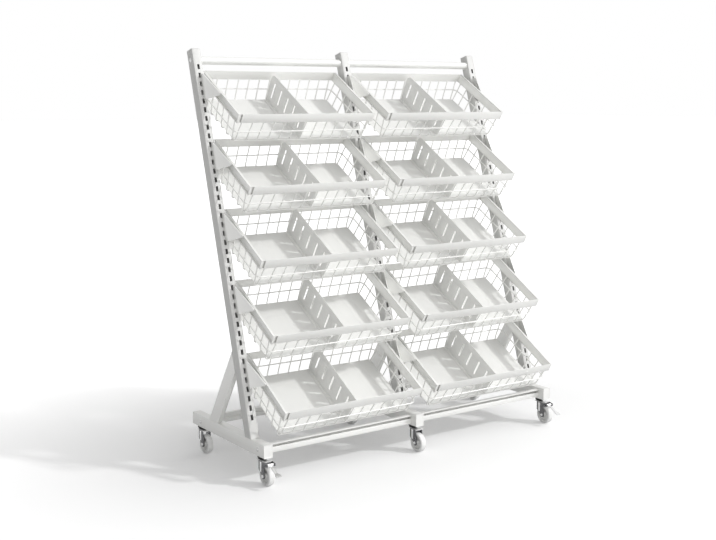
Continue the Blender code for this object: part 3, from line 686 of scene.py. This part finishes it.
@dataclass
class WireBasket:
    """A hook-on basket, built in its own frame: folded rim band, bent wires and two hook brackets."""

    layout: RackLayout
    width: float = 0.6334
    depth: float = 0.3307
    behind: float = 0.052
    height: float = 0.1248
    band_height: float = 0.038
    sheet: float = 0.0015
    edge: float = 0.0003
    hem: float = 0.006
    hem_edge: float = 0.0005
    corner_strip: float = 0.0085
    slit: float = 0.0105
    tab_depth: float = 0.006
    side_recess: float = 0.008
    wire: float = 0.0026
    wire_line: float = 0.0025
    wire_bend: float = 0.009
    wire_hold: float = 0.003
    taper_foot: float = 0.0145
    front_wires: int = 13
    front_wire_edge: float = 0.0245
    side_wires: int = 7
    side_wire_edge: float = 0.0195
    ring_drop: float = 0.080
    ring_corner: float = 0.022
    floor: float = -0.1236
    floor_sheet: float = 0.0012
    floor_inset: float = 0.0177
    floor_corner: float = 0.018
    plate: float = 0.003
    hook_offset: float = 0.003
    hook_drop: float = 0.008
    hook_reach: float = 0.008
    hook_neck: float = 0.008
    bracket_height: float = 0.095
    bracket_length: float = 0.078
    bracket_rise: float = 0.010
    blade_length: float = 0.018
    joggle_end: float = 0.070

    @property
    def front(self) -> float:
        """The rim's front face."""
        return self.behind - self.depth

    @property
    def middle(self) -> float:
        """The middle of the rim from front to rear."""
        return (self.front + self.behind) / 2

    def corners(self, inset: float = 0.0) -> list[Point2]:
        """The rim's four corners, seen from above, or those of an outline inside it."""
        half, front, behind = self.width / 2 - inset, self.front + inset, self.behind - inset
        return [(-half, front), (half, front), (half, behind), (-half, behind)]

    def hem_ring(self, low: float) -> BMesh:
        """Builds the folded hem that runs round the rim at one height."""
        bm = bmesh.new()
        face = bm.faces.new([bm.verts.new((x, y, low)) for x, y in self.corners()])
        bmesh.ops.inset_region(bm, faces=[face], thickness=self.hem, use_even_offset=True)
        bmesh.ops.delete(bm, geom=[face], context="FACES")
        thicken(bm, (0, 0, self.sheet))
        round_off(bm, sharp_edges(bm), self.hem_edge)
        return bm

    def band(self) -> BMesh:
        """Builds the rim band, bent from one strip whose ends leave a slit at the front left corner."""
        half, low, t = self.width / 2, -self.band_height, self.sheet
        web = half - self.side_recess
        seam = -half + self.corner_strip
        start, back = seam + self.slit, self.front + self.tab_depth
        tab_end = start + self.slit
        walls = [
            ((t - web, self.behind - t, low), (web - t, self.behind, 0.0)),
            ((-half, self.front, low), (seam, self.front + t, 0.0)),
            ((start, self.front, low), (half, self.front + t, 0.0)),
            ((-web, back, low + t), (tab_end, back + t, -t)),
        ]
        # The flanges lie a little inside the hems, so that no two faces share a plane.
        shy = t / 4
        for z in (low + shy, -t - shy):
            walls.append(((-web, self.front + t, z), (tab_end, back + t, z + t)))
            walls.append(((-half, self.front, z), (t - web, self.behind, z + t)))
            walls.append(((web - t, self.front, z), (half, self.behind, z + t)))
        walls.append(((tab_end, self.front + t, low), (tab_end + t, back + t, 0.0)))
        for side in (-web, web - t):
            walls.append(((side, self.front, low), (side + t, self.behind, 0.0)))
        bm = bmesh.new()
        for lowest, highest in walls:
            absorb(bm, bar(lowest, highest, self.edge))
        for z in (-t, low):
            absorb(bm, self.hem_ring(z))
        return bm

    def wires(self) -> BMesh:
        """Builds the bent wires and the middle wire that is welded round them."""
        half, low = self.width / 2, -self.height
        under = low - 2 * self.wire
        line, foot = self.wire_line, self.taper_foot
        top = self.wire_hold - self.band_height
        paths = []
        for x in spaced(self.front_wires, self.width - 2 * self.front_wire_edge):
            front = [(x, self.front + line, top), (x, self.front + foot, low)]
            paths.append([*front, (x, self.behind - foot, low), (x, self.behind - line, top)])
        for along in spaced(self.side_wires, self.depth - 2 * self.side_wire_edge):
            y = self.middle + along
            left = [(line - half, y, top), (foot - half, y, under)]
            paths.append([*left, (half - foot, y, under), (half - line, y, top)])
        bm = bmesh.new()
        for path in paths:
            absorb(bm, bent_wire(path, self.wire, self.wire_bend))
        fall = (self.ring_drop + top) / (self.height + top)
        inset = line + (foot - line) * fall - 2 * self.wire
        left, *others = self.corners(inset)
        loop = [(x, y, -self.ring_drop) for x, y in ((0, left[1]), *others, left)]
        absorb(bm, bent_wire(loop, self.wire, self.ring_corner, closed=True))
        return bm

    def brackets(self) -> BMesh:
        """Builds both of the joggled hook brackets."""
        layout, t, reach = self.layout, self.plate, self.hook_reach
        tilt = layout.lean + layout.basket_tilt
        blade, seat = layout.bay_pitch / 2 - self.hook_offset, self.width / 2
        neck = -layout.hook_below_rim - layout.slot_length / 2 + layout.touch
        behind, face = layout.upright_wall + layout.touch, -layout.touch
        outline = [(-self.blade_length, -self.bracket_height), (face, -self.bracket_height)]
        for z in (neck - layout.slot_pitch, neck):
            low, high = z - self.hook_drop, z + self.hook_neck
            outline += [(face, z), (behind, z), (behind, low), (reach, low), (reach, high), (face, high)]
        outline += [(face, self.bracket_rise), (-self.blade_length, self.bracket_rise)]
        plan = [
            (blade - t / 2, self.blade_length), (seat, self.joggle_end), (seat, self.bracket_length),
            (seat + t, self.bracket_length), (seat + t, self.joggle_end), (blade + t / 2, self.blade_length),
        ]
        bm = bmesh.new()
        for side in (-1, 1):
            points = [(side * (blade - t / 2), y, z) for y, z in outline]
            absorb(bm, prism(points, (side * t, 0, 0), self.edge))
            wing = bmesh.new()
            base = wing.faces.new([wing.verts.new((side * x, -y, -self.bracket_height)) for x, y in plan])
            for vert in verts_in(bmesh.ops.extrude_face_region(wing, geom=[base])["geom"]):
                at_blade = abs(vert.co.y + self.blade_length) < NEAR
                vert.co.z = self.bracket_rise if at_blade else vert.co.y * tan(tilt) - t
            face_out(wing)
            absorb(bm, wing)
        return placed(bm, Matrix.Rotation(-tilt, 4, "X"))

    def sheet_blank(self) -> BMesh:
        """Builds the round-cornered sheet that lies on the lower wires."""
        bm = bmesh.new()
        bm.faces.new([bm.verts.new((x, y, self.floor)) for x, y in self.corners(self.floor_inset)])
        round_off(bm, bm.verts, self.floor_corner, segments=6, affect="VERTICES")
        thicken(bm, (0, 0, self.floor_sheet))
        round_off(bm, sharp_edges(bm), self.floor_sheet / 4)
        return bm

    def build(self) -> None:
        """Shows a basket and its floor sheet on every tier of both bays."""
        shape, sheet = bmesh.new(), self.sheet_blank()
        for part in (self.band(), self.wires(), self.brackets()):
            absorb(shape, part)
        for tag, place in self.layout.baskets():
            body = f"basket_{tag}"
            show(f"basket_{tag}", copy_of(shape, place), POWDER_COAT, body, [f"wire_basket_{tag}"])
            show(f"floor_sheet_{tag}", copy_of(sheet, place), SHEET_COAT, body, [f"basket_floor_{tag}"])
        shape.free()
        sheet.free()


@dataclass
class Divider:
    """A slotted sheet with a turned foot that stands across a basket's floor."""

    basket: WireBasket
    top: float = -0.003
    top_inset: float = 0.006
    thickness: float = 0.0015
    edge: float = 0.0003
    corner: float = 0.032
    foot: float = 0.014
    foot_short: float = 0.001
    slots: int = 5
    slot_edge: float = 0.050
    slot_width: float = 0.009
    slot_length: float = 0.068

    @property
    def low(self) -> float:
        """The underside of the foot, just clear of the floor sheet."""
        return self.basket.floor + self.basket.floor_sheet + self.basket.layout.touch

    @property
    def ends(self) -> Point2:
        """The front and rear ends of the sheet's lower edge."""
        return self.basket.front + self.basket.floor_inset, self.basket.behind - self.basket.floor_inset

    def outline(self) -> list[Point2]:
        """The sheet's edge as (along, up) points, with the rear top corner round."""
        front, rear = self.ends
        slope = (self.basket.floor_inset - self.top_inset) / (self.top - self.low)
        upright = arc((rear - self.corner, self.top - self.corner), self.corner, 0, pi / 2, facets=10)
        corner = [(along + slope * (up - self.low), up) for along, up in upright]
        return [(front, self.low), (rear, self.low), *corner, (self.basket.front + self.top_inset, self.top)]

    def slot_outline(self, along: float) -> list[Point2]:
        """The edge of a round-ended slot as (along, up) points, about its place from front to back."""
        up, r = (self.low + self.top) / 2, self.slot_width / 2
        end = self.slot_length / 2 - r
        return arc((along, up + end), r, 0, pi, facets=6) + arc((along, up - end), r, pi, pi, facets=6)

    def sheet(self) -> BMesh:
        """Builds the sheet and its foot, in a basket's frame."""
        curve = bpy.data.curves.new("divider_sheet", "CURVE")
        curve.dimensions = "2D"
        curve.fill_mode = "BOTH"
        curve.extrude = self.thickness / 2 - self.edge
        curve.bevel_depth = self.edge
        curve.bevel_resolution = 1
        curve.offset = -self.edge
        places = spaced(self.slots, self.basket.depth - 2 * self.slot_edge)
        for loop in [self.outline(), *(self.slot_outline(self.basket.middle + place) for place in places)]:
            spline = curve.splines.new("POLY")
            spline.points.add(len(loop) - 1)
            spline.use_cyclic_u = True
            for point, (along, up) in zip(spline.points, loop):
                point.co = (along, up, 0.0, 1.0)
        flat = linked("divider_sheet", curve)
        bpy.context.view_layer.update()
        mesh = bpy.data.meshes.new_from_object(flat.evaluated_get(bpy.context.evaluated_depsgraph_get()))
        bpy.data.objects.remove(flat)
        bm = bmesh.new()
        bm.from_mesh(mesh)
        bpy.data.meshes.remove(mesh)
        bmesh.ops.remove_doubles(bm, verts=bm.verts, dist=WELD)
        bm.transform(Matrix(((0, 0, 1, 0), (1, 0, 0, 0), (0, 1, 0, 0), (0, 0, 0, 1))))
        front, rear = self.ends
        foot_low = (-self.foot, front + self.foot_short, self.low)
        absorb(bm, bar(foot_low, (0.0, rear - self.foot_short, self.low + self.thickness)))
        return bm

    def build(self) -> None:
        """Shows a divider in every basket."""
        sheet = self.sheet()
        for tag, place in self.basket.layout.baskets():
            name = f"divider_{tag}"
            # The dividers wear the lighter copy of the coat, which is painted light.
            show(name, copy_of(sheet, place), DIVIDER_PAINTED_LIGHT_COAT, name, [f"basket_divider_{tag}"])
        sheet.free()


@dataclass
class Caster:
    """A swivel caster: bearing head, pressed fork, wheel and, at the outer front corners, a brake.

    The race is the head's lower profile, as insets from its radius and heights above the crown. The dish is
    the core's side, as radii and depths. The stem's and tab's lines are shares of the pedal's reach and fall.
    """

    layout: RackLayout
    inset: float = 0.045
    trail: float = 0.035
    wheel_radius: float = 0.0375
    wheel_width: float = 0.026
    hub_width: float = 0.028
    hub_radius: float = 0.010
    hub_edge: float = 0.001
    dish: Sequence[Point2] = (
        (0.010, 0.009), (0.011, 0.0105), (0.0235, 0.0105), (0.0255, 0.003), (0.0275, 0.0015),
        (0.0305, 0.0015), (0.0315, 0.003),
    )
    tread_inset: float = 0.001
    tread_depth: float = 0.0075
    tread_corner: float = 0.004
    axle: float = 0.004
    axle_play: float = 0.0005
    plate: float = 0.003
    rear: float = 0.012
    front: float = -0.046
    arm_rear: float = -0.002
    arm_front: float = -0.038
    arm_straight: float = 0.056
    arm_edge: float = 0.0007
    rib: Sequence[Point2] = ((-0.023, 0.050), (-0.012, 0.0885))
    rib_rise: float = 0.0012
    crown: float = 0.0895
    crown_rise: float = 0.0004
    crown_edge: float = 0.0008
    boss: float = 0.011
    head_radius: float = 0.0175
    head_edge: float = 0.001
    race: Sequence[Point2] = (
        (0.004, -0.001), (0.0025, 0.001), (0.0025, 0.004), (0.004, 0.0045), (0.004, 0.0055), (0.0, 0.006),
    )
    pivot: Point2 = (-0.056, 0.083)
    barrel: float = 0.005
    barrel_bore: float = 0.003
    pedal_width: float = 0.022
    pedal_reach: float = 0.066
    pedal_fall: float = 0.026
    pedal_plate: float = 0.003
    pedal_bend: float = 0.006
    stem: float = 0.006
    stem_line: Sequence[Point2] = ((0.30, 0.15), (0.68, 0.72))
    tab_line: Sequence[Point2] = ((0.80, 0.80), (0.98, 1.0))
    shoe: float = 0.003
    shoe_gap: float = 0.0005
    shoe_root: float = 0.004
    bolt_reach: float = 0.0215
    bolt_radius: float = 0.006
    bolt_edge: float = 0.0006

    @property
    def inner(self) -> float:
        """Half the gap between the fork's arms."""
        return self.hub_width / 2 + self.layout.touch

    @property
    def outer(self) -> float:
        """Half the fork's width over its arms."""
        return self.inner + self.plate

    @property
    def top(self) -> float:
        """The height of the crown's upper face."""
        return self.crown + self.plate

    def arm_outline(self, braked: bool) -> list[Point2]:
        """The side of an arm as (along, up) points, with a nose for the pedal's pin if it is braked."""
        outline = [(self.arm_rear, self.top), (self.arm_rear, self.arm_straight)]
        outline += arc((-self.trail, self.wheel_radius), self.boss, 0, -pi, facets=8)
        if not braked:
            return [*outline, (self.arm_front, self.top - self.boss), (self.arm_front, self.top)]
        y, z = self.pivot
        nose, r = y - 2 * self.barrel, self.barrel
        return [*outline, (self.arm_front, z - 2 * r), (nose, z - r), (nose, z + r), (self.front, self.top)]

    def fork(self, braked: bool) -> BMesh:
        """Builds the fork's arms and the pins between them, with those of a brake if it has one; the arms'
        dark zinc is a painted dark reflection.
        """
        bm, outer = bmesh.new(), self.outer
        for side in (-1, 1):
            points = [(side * self.inner, y, z) for y, z in self.arm_outline(braked)]
            absorb(bm, prism(points, (side * self.plate, 0, 0), self.arm_edge))
        pins = [(self.axle, -self.trail, self.wheel_radius)]
        if braked:
            pins.append((self.barrel / 2, *self.pivot))
        for radius, y, z in pins:
            pin = turned([(0.0, -outer), (radius, -outer), (radius, outer), (0.0, outer)], segments=20)
            absorb(bm, placed(pin, Matrix.Translation((0, y, z)) @ ACROSS))
        return bm

    def painted_highlight_parts(self) -> BMesh:
        """Builds the crown, the ribs pressed into the arms and the axle's bolt heads, in the lighter zinc
        that paints the fork's highlights.
        """
        outer = self.outer
        (front, low), (rear, high) = self.rib
        crown_top = self.top + self.crown_rise
        bm = bar((-outer, self.front, self.crown), (outer, self.rear, crown_top), self.crown_edge)
        hexagon = arc((-self.trail, self.wheel_radius), self.bolt_radius, 0, 5 / 3 * pi, facets=5)
        for side in (-1, 1):
            left, right = sorted((side * (outer - self.plate / 2), side * (outer + self.rib_rise)))
            absorb(bm, bar((left, front, low), (right, rear, high), self.rib_rise / 2))
            points = [(side * outer, y, z) for y, z in hexagon]
            absorb(bm, prism(points, (side * (self.bolt_reach - outer), 0, 0), self.bolt_edge))
        return bm

    def head(self) -> BMesh:
        """Builds the bearing head between the fork and the leg, about the swivel axis; its near-black colour
        is painted shade for the gap under the leg.
        """
        r, edge = self.head_radius, self.head_edge
        seat = self.layout.leg_underside - self.layout.touch
        sides = [(r - inset, self.top + up) for inset, up in self.race]
        return turned([(0.0, sides[0][1]), *sides, (r, seat - edge), (r - edge, seat), (0.0, seat)])

    def core(self) -> BMesh:
        """Builds the wheel's moulded core, about its axle."""
        r, edge, hub = self.hub_radius, self.hub_edge, self.hub_width / 2
        side = [(radius, deep - self.wheel_width / 2) for radius, deep in self.dish]
        bore = (self.axle + self.axle_play, -hub)
        return turned(mirrored([bore, (r - edge, -hub), (r, edge - hub), *side]), segments=48)

    def tread(self) -> BMesh:
        """Builds the wheel's rounded tread, about its axle."""
        half, r = self.wheel_width / 2 - self.tread_inset, self.tread_corner
        shoulder = arc((self.wheel_radius - r, r - half), r, -pi / 2, pi / 2, facets=6)
        return turned(mirrored([(self.wheel_radius - self.tread_depth, -half), *shoulder]), segments=64)

    def pedal(self) -> BMesh:
        """Builds the brake pedal about its pin: a bent stem with a wide tab, a barrel and a shoe."""
        half, hub, r = self.pedal_width / 2, self.hub_width / 2, self.barrel
        line = [(self.stem, -r / 2, 0.0)]
        for wide, shares in ((self.stem, self.stem_line), (half, self.tab_line)):
            line += [(wide, -along * self.pedal_reach, -down * self.pedal_fall) for along, down in shares]
        bm = bmesh.new()
        rows = [[bm.verts.new((x, y, z)) for x in (-wide, wide)] for wide, y, z in line]
        for a, b in zip(rows, rows[1:]):
            bm.faces.new((a[0], a[1], b[1], b[0]))
        across = [e for e in bm.edges if e.verts[0].co.z == e.verts[1].co.z and len(e.link_faces) == 2]
        round_off(bm, across, self.pedal_bend, 4)
        face_out(bm)
        bmesh.ops.solidify(bm, geom=list(bm.faces), thickness=self.pedal_plate)
        bmesh.ops.translate(bm, verts=bm.verts, vec=(0, 0, -self.pedal_plate / 2))
        barrel = turned([(self.barrel_bore, -hub), (r, -hub), (r, hub), (self.barrel_bore, hub)], segments=24)
        absorb(bm, placed(barrel, ACROSS))
        y, z = self.pivot
        to_axle = Vector((0, -self.trail - y, self.wheel_radius - z))
        shoe_end = to_axle.length - self.wheel_radius - self.shoe_gap
        shoe = bar((-half, -self.shoe, -shoe_end), (half, self.shoe, -self.shoe_root))
        absorb(bm, placed(shoe, Vector((0, 0, -1)).rotation_difference(to_axle).to_matrix().to_4x4()))
        return bm

    def build(self) -> None:
        """Shows the six casters, with brakes at the outer front corners."""
        layout = self.layout
        for row in Row:
            y = layout.front_y + (self.inset if row is Row.FRONT else layout.leg_length - self.inset)
            for side in Side:
                tag = f"{row.word}_{side.word}"
                caster, wheel = f"caster_{tag}", f"wheel_{tag}"
                braked = row is Row.FRONT and side is not Side.CENTRE
                swivel = Matrix.Translation((layout.side_x(side), y, 0))
                hub = swivel @ Matrix.Translation((0, -self.trail, self.wheel_radius)) @ ACROSS
                show(f"fork_{tag}", placed(self.fork(braked), swivel), ZINC_PAINTED_REFLECTION, caster, [f"caster_fork_{tag}"])
                show(f"bearing_head_{tag}", placed(self.head(), swivel), HEAD_PAINTED_SHADE, caster)
                show(f"fork_crown_{tag}", placed(self.painted_highlight_parts(), swivel), ZINC_PAINTED_HIGHLIGHT, caster)
                show(f"wheel_core_{tag}", placed(self.core(), hub), NYLON, wheel, [f"caster_wheel_{tag}"])
                show(f"wheel_tread_{tag}", placed(self.tread(), hub), TREAD, wheel)
                if braked:
                    pedal = placed(self.pedal(), swivel @ Matrix.Translation((0, *self.pivot)))
                    # The pedal wears the lighter copy of the zinc, a painted highlight.
                    show(f"pedal_{tag}", pedal, ZINC_PAINTED_HIGHLIGHT, f"brake_{tag}", [f"brake_pedal_{tag}"])


@dataclass
class Studio:
    """The photograph's view, a plain pale floor and plain light.

    The floor glows for rays that show it, from the first to the second painted glow over a span of distances,
    which are measured after the lift's scale. The glow is least near the rack, a painted shade under it, and
    most far out, a painted light that fades the rack's far shadow.
    """

    eye: Sequence[float] = (-2.7774, -3.7497, 1.4184)
    yaw: float = radians(35.164)
    pitch: float = radians(5.1056)
    lens: float = 57.17
    sensor: float = 36.0
    shift: Point2 = (0.0045, -0.1)
    sight: float = 200.0
    sun_from: Sequence[float] = (0.586, -0.583, 0.563)
    sun_strength: float = 1.2
    sun_size: float = radians(4.5)
    sky_level: float = 0.95
    sky_slope: Sequence[float] = (0.5, -0.6, -0.5)
    floor_bounce: float = 0.6
    floor_shade: float = 0.9
    floor_roughness: float = 0.9
    floor_lift: Point2 = (0.13, 0.55)
    lift_span: Point2 = (0.8, 3.4)
    lift_scale: Sequence[float] = (1.1, 2.0, 0.0)
    floor_reach: float = 60.0

    def camera(self) -> None:
        """Sets up the camera at the photograph's viewing angle."""
        data = bpy.data.cameras.new("camera")
        data.sensor_fit = "HORIZONTAL"
        data.sensor_width = self.sensor
        data.lens = self.lens
        data.shift_x, data.shift_y = self.shift
        data.clip_end = self.sight
        camera = linked("camera", data)
        camera.location = self.eye
        camera.rotation_euler = (pi / 2 - self.pitch, 0.0, -self.yaw)
        bpy.context.scene.camera = camera

    def lights(self) -> None:
        """Sets up the key light and a sky that is brighter on its side and shows white behind the rack."""
        lamp = bpy.data.lights.new("key", "SUN")
        lamp.energy = self.sun_strength
        lamp.angle = self.sun_size
        key = linked("key", lamp)
        key.rotation_euler = Vector(self.sun_from).to_track_quat("Z", "Y").to_euler()
        world = bpy.data.worlds.new("studio")
        world.use_nodes = True
        bpy.context.scene.world = world
        graph = Graph(world.node_tree)
        around = graph.add("ShaderNodeTexCoord").outputs["Generated"]
        slope = graph.vector("DOT_PRODUCT", around, self.sky_slope)["Value"]
        level = graph.math("ADD", slope, self.sky_level)
        strength = graph.add("ShaderNodeMapRange", Value=self.seen_directly(graph), To_Min=level, To_Max=1.0)
        sky = world.node_tree.nodes["Background"]
        graph.feed(sky, Strength=strength.outputs["Result"], Color=WHITE)

    def seen_directly(self, graph: Graph) -> bpy.types.NodeSocket:
        """Returns a socket that is 1 for camera, glossy and transmission rays, else 0."""
        path = graph.add("ShaderNodeLightPath").outputs
        first = graph.math("MAXIMUM", path["Is Camera Ray"], path["Is Glossy Ray"])
        return graph.math("MAXIMUM", first, path["Is Transmission Ray"])

    def floor_material(self) -> bpy.types.Material:
        """Returns the floor's material, which shows lighter than it lights the rack."""
        material = bpy.data.materials.new("pale_floor")
        material.use_nodes = True
        graph = Graph(material.node_tree)
        spot = graph.add("ShaderNodeTexCoord").outputs["Object"]
        scaled = graph.vector("MULTIPLY", spot, self.lift_scale)["Vector"]
        away = graph.vector("LENGTH", scaled)["Value"]
        (start, end), (least, most) = self.lift_span, self.floor_lift
        # Painted shade and light: the floor's glow is least near the rack, darkening the floor under it, and
        # rises outward to fade the rack's far shadow.
        painted_glow = graph.add(
            "ShaderNodeMapRange", Value=away, From_Min=start, From_Max=end, To_Min=least, To_Max=most,
        )
        seen = self.seen_directly(graph)
        tone = graph.add("ShaderNodeMapRange", Value=seen, To_Min=self.floor_bounce, To_Max=self.floor_shade)
        strength = graph.math("MULTIPLY", seen, painted_glow.outputs["Result"])
        graph.feed(
            material.node_tree.nodes["Principled BSDF"], Base_Color=tone.outputs["Result"],
            Roughness=self.floor_roughness, Emission_Color=WHITE, Emission_Strength=strength,
        )
        return material

    def floor(self) -> None:
        """Lays a pale floor that shows near white and keeps the rack's shadow."""
        bm = bmesh.new()
        bmesh.ops.create_grid(bm, x_segments=1, y_segments=1, size=self.floor_reach)
        mesh = mesh_of(bm, "floor")
        mesh.materials.append(self.floor_material())
        floor = linked("floor", mesh)

    def build(self) -> None:
        """Sets up camera, light and floor."""
        bpy.context.scene.view_settings.view_transform = "Standard"
        self.camera()
        self.lights()
        self.floor()


def main() -> None:
    """Builds the studio and every sub-assembly of the rack."""
    logging.basicConfig(level=logging.INFO, format="%(message)s")
    layout = RackLayout()
    basket = WireBasket(layout)
    Studio().build()
    SteelFrame(layout).build()
    basket.build()
    Divider(basket).build()
    Caster(layout).build()


if __name__ == "__main__":
    main()
